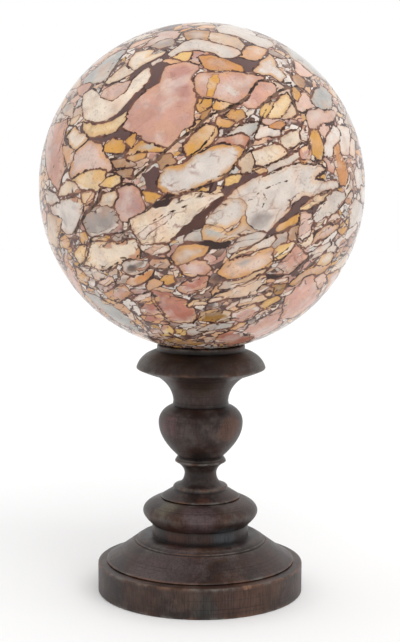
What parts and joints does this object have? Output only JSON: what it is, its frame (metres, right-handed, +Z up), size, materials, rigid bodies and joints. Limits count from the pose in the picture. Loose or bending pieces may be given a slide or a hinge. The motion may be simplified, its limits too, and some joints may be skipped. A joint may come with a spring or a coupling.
{
  "type": "decorative sphere",
  "caption": "Polished breccia marble sphere resting in the dished collar of a turned dark wood pedestal stand with an urn stem and a stepped round foot.",
  "frame": {"origin": "centre of the stand's flat underside", "axes": "+Z up along the turning axis, through the centre of the sphere; the piece is round, so X and Y are any two level directions, with the pictured side towards -Y"},
  "size_m": [0.2, 0.2, 0.3539],
  "materials": {
    "dark_wood": "dark stained hardwood, waxed to a satin sheen, worn redder along its edges",
    "breccia_marble": "polished breccia: pink, cream, ochre and white fragments in a dark purple-brown matrix"
  },
  "bodies": {
    "root": {"stand_base_disc": "dark_wood", "stand_foot_moulding": "dark_wood", "stand_stem": "dark_wood", "marble_sphere": "breccia_marble"}
  },
  "joints": []
}
